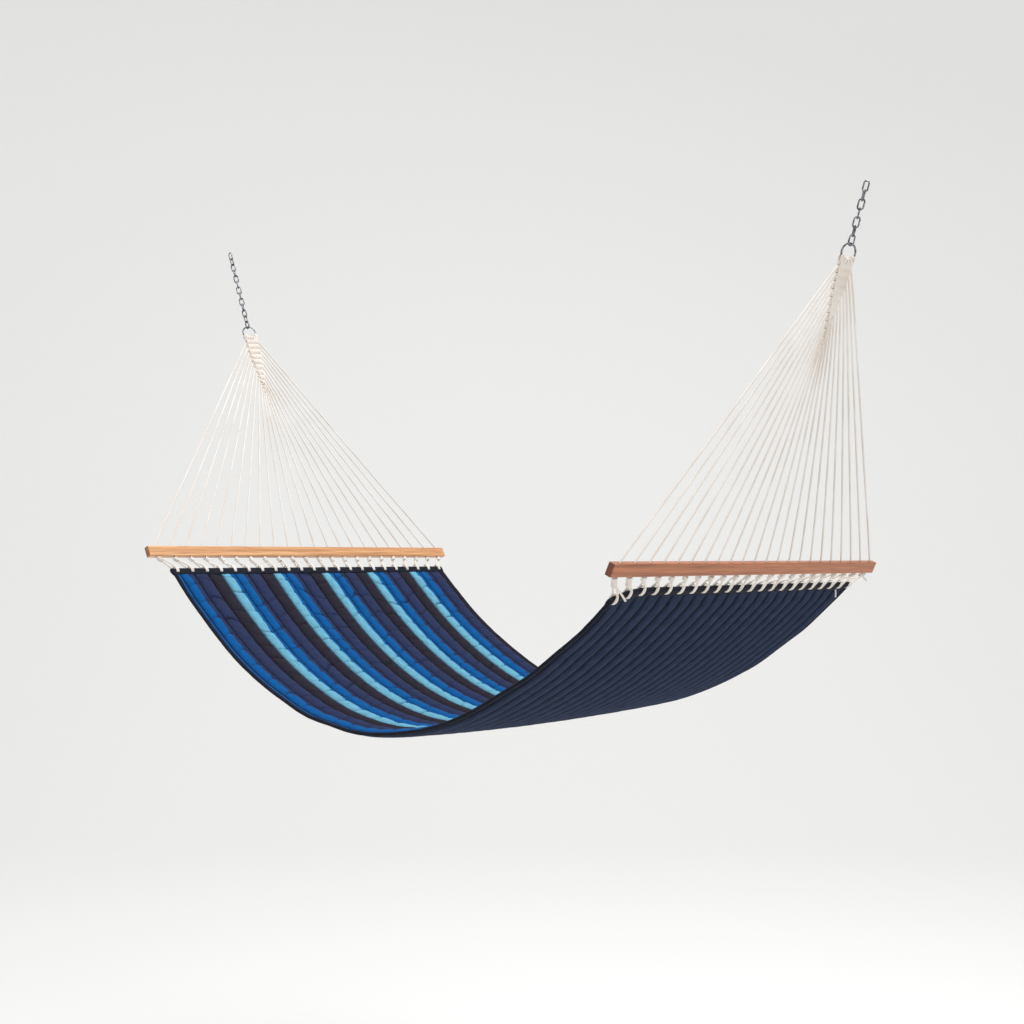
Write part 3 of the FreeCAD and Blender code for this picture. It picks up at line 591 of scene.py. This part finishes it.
def hemPlace(end, row, side):
    kind, amount = hemRows[row]
    if kind == 0:
        turn = math.radians(amount)
        spot = (end.dowel + end.lift * (hem["radius"] * math.cos(turn))
                - end.along * (hem["radius"] * math.sin(turn)))
    else:
        share = max(0, (amount - 0.006) / (hem["depth"] - 0.006))
        rise = hem["radius"] + (hem["pinch"] - hem["radius"]) * share ** 0.8
        spot = end.dowel + end.along * amount - end.lift * (kind * rise)
    ripple = 0.0007 * noise.noise(Vector((side * 30, row * 0.2, end.side)))
    return spot + across * side + end.lift * ripple - Vector((0, 0, hemDroop(end, side)))


slotStep = (hem["width"] - 2 * hem["slotEdge"]) / (cord["count"] - 1)
hemSides = [-hem["width"] / 2 - hem["over"]]
for index in range(cord["count"]):
    centreY = (index - (cord["count"] - 1) / 2) * slotStep
    for share in hemSteps:
        spot = centreY + share * slotStep
        if abs(spot) < hem["width"] / 2 - 0.002:
            hemSides.append(spot)
hemSides.append(hem["width"] / 2 + hem["over"])

for end in ends:
    bm = bmesh.new()
    bmesh.ops.create_grid(bm, x_segments=len(hemSides) - 1, y_segments=len(hemRows) - 1, size=0.5)
    uvLayer = bm.loops.layers.uv.new("UVMap")
    spots, cut = {}, []
    for vert in bm.verts:
        column = round((vert.co.x + 0.5) * (len(hemSides) - 1))
        row = round((vert.co.y + 0.5) * (len(hemRows) - 1))
        spots[vert] = (row, column)
    for face in bm.faces:
        rows = sorted(spots[v][0] for v in face.verts)
        sides = sorted(hemSides[spots[v][1]] for v in face.verts)
        fromSlot = abs(((sides[0] + sides[-1]) / 2 / slotStep + 0.5) % 1 - 0.5) * slotStep
        inside = fromSlot < hem["slotWidth"] / 2 - 0.001
        if inside and rows[0] >= 2 and rows[-1] <= len(hemRows) - 3:
            cut.append(face)
        for loop in face.loops:
            row, column = spots[loop.vert]
            loop[uvLayer].uv = (hemSides[column], row * 0.0045)
    for vert, (row, column) in spots.items():
        vert.co = hemPlace(end, row, hemSides[column])
    bmesh.ops.delete(bm, geom=cut, context="FACES")
    for column in (0, len(hemSides) - 1):      # the ends are sewn shut over the rod
        rim = [e for e in bm.edges if all(spots[v][1] == column for v in e.verts)]
        bmesh.ops.contextual_create(bm, geom=rim)
    bmesh.ops.recalc_face_normals(bm, faces=bm.faces)
    piece = newPiece(f"{end.name}_hem_webbing", bm, webbing)
    wall = piece.modifiers.new("tape", "SOLIDIFY")
    wall.thickness = hem["tape"]
    wall.offset = 0
    softEdge = piece.modifiers.new("soft edge", "BEVEL")
    softEdge.width = 0.0004
    softEdge.segments = 2
    softEdge.limit_method = "ANGLE"
    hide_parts(f"{end.name}_hem_band")

print("foot hem rod")

bm = bmesh.new()
bmesh.ops.create_circle(bm, radius=hem["dowel"], segments=20)
rodSteps = 70      # enough to bend smoothly at the corner
bmesh.ops.spin(bm, geom=bm.verts[:] + bm.edges[:], cent=(0, 0, 0), axis=(0, 0, 1),
               dvec=(0, 0, hem["width"] / rodSteps), angle=0, steps=rodSteps)
bmesh.ops.holes_fill(bm, edges=[e for e in bm.edges if e.is_boundary], sides=0)
bmesh.ops.bevel(bm, geom=[e for e in bm.edges if e.calc_face_angle(0) > 1.2], offset=0.0006, segments=2,
                profile=0.5, affect="EDGES", material=-1)
for vert in bm.verts:
    side = vert.co.z - hem["width"] / 2
    vert.co = foot.dowel + Vector((vert.co.x, side, vert.co.y - hemDroop(foot, side)))
bmesh.ops.recalc_face_normals(bm, faces=bm.faces)
piece = newPiece("foot_hem_rod", bm, rodWood)
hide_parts("foot_hem_dowel")

print("edge bindings")

# the folded tape's section as reach outward and lift: the upper half, then the lower mirrored
upper = [(0.0, 0.0040), (0.003, 0.0047), (0.006, 0.0046), (0.0085, 0.0032), (0.0096, 0.0012)]
profile = upper + [(reach, -lift) for reach, lift in reversed(upper)]
tape = {"steps": 260, "overlap": 0.004, "inset": 0.0002, "thickness": 0.0012, "flat": 0.025}
tapeEdge = bed["halfWidth"] - bed["bindingWidth"] - tape["inset"]

for name, side in (("near", -1), ("far", 1)):
    bm = bmesh.new()
    bmesh.ops.create_grid(bm, x_segments=tape["steps"], y_segments=len(profile) - 1, size=0.5)
    uvLayer = bm.loops.layers.uv.new("UVMap")
    flat = []
    for vert in bm.verts:
        share = vert.co.x + 0.5
        reach, lift = profile[round((vert.co.y + 0.5) * (len(profile) - 1))]
        start = hem["depth"] - tape["overlap"]
        run = start + share * (bedLength - 2 * start)
        wave = (0.0016 * noise.noise(Vector((run * 9, side, 0)))
                + 0.0008 * noise.noise(Vector((run * 34, side, 3))))
        flat.append((run, side * (tapeEdge + reach + wave * reach / bed["bindingWidth"]),
                     lift + 0.0007 * noise.noise(Vector((run * 26, lift * 300, side)))))
    for face in bm.faces:
        for loop in face.loops:
            loop[uvLayer].uv = ((loop.vert.co.x + 0.5) * bedLength, (loop.vert.co.y + 0.5) * tape["flat"])
    moveVerts(bm, onBed(np.array(flat)))
    bmesh.ops.recalc_face_normals(bm, faces=bm.faces)
    piece = newPiece(f"{name}_edge_tape", bm, webbing)
    wall = piece.modifiers.new("tape", "SOLIDIFY")
    wall.thickness = tape["thickness"]
    wall.offset = 0
    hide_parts(f"{name}_edge_binding")

print("quilted bed")

quilt = {"cellsAlong": 300, "cellsPerChannel": 8, "edgeCells": 4, "inset": 0.0165, "seam": 0.0016,
         "crown": 0.0088, "backCrown": 0.0098, "frames": 10, "cap": 0.008, "foldStep": 0.078,
         "beads": 0.0011, "beadStep": 0.027, "flatCells": 49, "lowest": 0.0012, "beadReach": 0.6}
outer = bed["channel"] * bed["channels"] / 2      # the outermost seams


def quiltGrid():
    # a flat sheet whose columns fall on the seams; run, side and lift are its x, y and z
    seams = [(k - bed["channels"] / 2) * bed["channel"] for k in range(bed["channels"] + 1)]
    sides = []
    for low, high in zip(seams, seams[1:]):
        sides += [low + (high - low) * n / quilt["cellsPerChannel"] for n in range(quilt["cellsPerChannel"])]
    sides.append(seams[-1])
    edge = bed["halfWidth"] - 0.0035
    extra = [seams[-1] + (edge - seams[-1]) * (n + 1) / quilt["edgeCells"] for n in range(quilt["edgeCells"])]
    sides = [-spot for spot in reversed(extra)] + sides + extra
    bm = bmesh.new()
    bmesh.ops.create_grid(bm, x_segments=quilt["cellsAlong"], y_segments=len(sides) - 1, size=0.5)
    for vert in bm.verts:
        share = vert.co.x + 0.5
        column = round((vert.co.y + 0.5) * (len(sides) - 1))
        vert.co = (quilt["inset"] + share * (bedLength - 2 * quilt["inset"]), sides[column], 0)
    uvLayer = bm.loops.layers.uv.new("UVMap")
    for face in bm.faces:
        for loop in face.loops:
            loop[uvLayer].uv = loop.vert.co.xy
    return bm, seams


def channelShare(side):
    place = side / bed["channel"] + bed["channels"] / 2
    return place - math.floor(place), math.floor(place)


def inHem(run):
    return min(run, bedLength - run) < hem["depth"] - 0.0005


def crease(run, side):
    # where the gathered cover dips in short folds across its channels
    share, channel = channelShare(side)
    beat = run / quilt["foldStep"] + 2.1 * noise.noise(Vector((channel * 5.1, run * 2.2, 1)))
    strong = 0.55 + 0.75 * noise.noise(Vector((channel * 2.7, run * 7, 8)))
    bow = 0.12 * math.sin(share * math.pi + channel)
    return min(1.0, max(0.0, strong)) * max(0.0, math.cos(math.tau * (beat + bow))) ** 18


def puff(run, side, top):
    # how far the filled channels stand above the parting before the cloth settles
    share, channel = channelShare(side)
    if inHem(run):
        return quilt["seam"]
    if abs(side) > outer - 1e-5:
        return quilt["seam"] + 0.0024 * min(1.0, (abs(side) - outer) / 0.008)
    crown = max(0.0, 4 * share * (1 - share)) ** 0.6
    grow = min(1.0, (min(run, bedLength - run) - hem["depth"]) / 0.035)
    if top:
        folds = 0.75 * crease(run, side) + 0.14 * noise.noise(Vector((run * 40, side * 30, channel)))
    else:
        folds = 0.06 * noise.noise(Vector((run * 9, side * 8, channel))) + 0.04
    height = quilt["crown"] if top else quilt["backCrown"]
    return quilt["seam"] + height * crown * max(0, grow) * (1 - folds)


def settle(piece, top):
    # the filling pushes the cover out between its seams
    held = piece.vertex_groups.new(name="seams")
    pinned, folded = [], []
    for vert in piece.data.vertices:
        share, _ = channelShare(vert.co.y)
        edge = abs(vert.co.y) > outer - 1e-5
        if edge or inHem(vert.co.x) or min(share, 1 - share) < 0.02:
            pinned.append(vert.index)
        elif top and crease(vert.co.x, vert.co.y) > 0.45:
            folded.append(vert.index)
    held.add(pinned, 1.0, "REPLACE")
    held.add(folded, 0.8, "REPLACE")
    before = np.array([tuple(v.co) for v in piece.data.vertices])
    cloth = piece.modifiers.new("filling", "CLOTH")
    cloth.settings.quality = 4
    cloth.settings.mass = 0.0004
    cloth.settings.tension_stiffness = 12
    cloth.settings.compression_stiffness = 12
    cloth.settings.shear_stiffness = 3
    cloth.settings.bending_stiffness = 0.02
    cloth.settings.vertex_group_mass = "seams"
    cloth.settings.use_pressure = True
    cloth.settings.uniform_pressure_force = 5
    cloth.settings.shrink_min = -0.014 if top else 0.0
    cloth.settings.effector_weights.gravity = 0
    cloth.collision_settings.use_collision = False
    for number in range(1, quilt["frames"] + 1):
        scene.frame_set(number)
    shaped = piece.evaluated_get(bpy.context.evaluated_depsgraph_get())
    mesh = bpy.data.meshes.new_from_object(shaped)
    after = np.array([tuple(v.co) for v in mesh.vertices])
    bpy.data.meshes.remove(mesh)
    piece.modifiers.remove(cloth)
    piece.vertex_groups.clear()
    scene.frame_set(1)
    move = after - before
    move[:, 1] *= 0.4
    far = np.linalg.norm(move, axis=1)
    print("  cover moved", round(float(far.max()) * 1000, 1), "mm at most")
    move *= (np.minimum(far, quilt["cap"]) / np.maximum(far, 1e-9))[:, None]
    piece.data.vertices.foreach_set("co", (before + move).astype(np.float32).ravel())


for name, top in (("bed_top_quilt", True), ("bed_back_quilt", False)):
    bm, seams = quiltGrid()
    # crease strength per vertex, which the striped finish turns into painted shade in the folds
    folds = bm.verts.layers.float.new("folds")
    for vert in bm.verts:
        vert.co.z = puff(vert.co.x, vert.co.y, top)
        if top and not inHem(vert.co.x):
            vert[folds] = crease(vert.co.x, vert.co.y)
    mesh = bpy.data.meshes.new(name)
    bm.to_mesh(mesh)
    bm.free()
    piece = bpy.data.objects.new(name, mesh)
    scene.collection.objects.link(piece)
    settle(piece, top)
    bm = bmesh.new()
    bm.from_mesh(mesh)
    rim = bmesh.ops.extrude_edge_only(bm, edges=[e for e in bm.edges if e.is_boundary])["geom"]
    for vert in rim:
        if isinstance(vert, bmesh.types.BMVert):
            vert.co.z = 0.0002
    closing = bmesh.ops.contextual_create(bm, geom=[e for e in bm.edges if e.is_boundary])["faces"]
    for face in closing:
        face.material_index = 1
    clothLength = bedLength - 2 * quilt["inset"]
    cuts = [((quilt["inset"] + clothLength * n / quilt["flatCells"], 0, 0), (1, 0, 0))
            for n in range(1, quilt["flatCells"])]
    cuts += [((0, seams[n], 0), (0, 1, 0)) for n in range(0, len(seams), 2)]
    for spot, normal in cuts:
        inner = [f for f in bm.faces if f.material_index == 1]
        geom = set(inner)
        for face in inner:
            geom.update(face.edges)
            geom.update(face.verts)
        bmesh.ops.bisect_plane(bm, geom=list(geom), dist=1e-6, plane_co=spot, plane_no=normal)
    for face in bm.faces:
        face.material_index = 0
    flat = vertPlaces(bm)
    flat[:, 2] = np.where(flat[:, 2] > 0.0005, np.maximum(flat[:, 2], quilt["lowest"]), flat[:, 2])
    share = np.abs((flat[:, 1] / bed["channel"]) % 1 - 0.5) * 2     # 1 on a seam
    beads = np.sin(flat[:, 0] * math.tau / quilt["beadStep"] + np.round(flat[:, 1] / bed["channel"]) * 1.7)
    flat[:, 1] += quilt["beads"] * beads * share ** 6 * (np.abs(flat[:, 1]) < quilt["beadReach"])
    if not top:
        flat[:, 2] *= -1
    moveVerts(bm, onBed(flat))
    bmesh.ops.recalc_face_normals(bm, faces=bm.faces)
    bm.to_mesh(mesh)
    bm.free()
    mesh.shade_smooth()
    mesh.materials.append(stripedCloth if top else navyCloth)
    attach(piece, "bed_and_harness")
    if top:
        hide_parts("bed_top_cover", "bed_batting")
    else:
        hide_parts("bed_back_cover")

print("wood and metal")

for name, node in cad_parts.items():
    finish = None
    if "spreader_bar" in name:
        finish = oak[name.split("_")[0]]
    elif "dowel" in name:
        finish = rodWood
    elif "ring" in name or "link" in name:
        finish = zinc
    if finish:
        node.data.materials.clear()
        node.data.materials.append(finish)
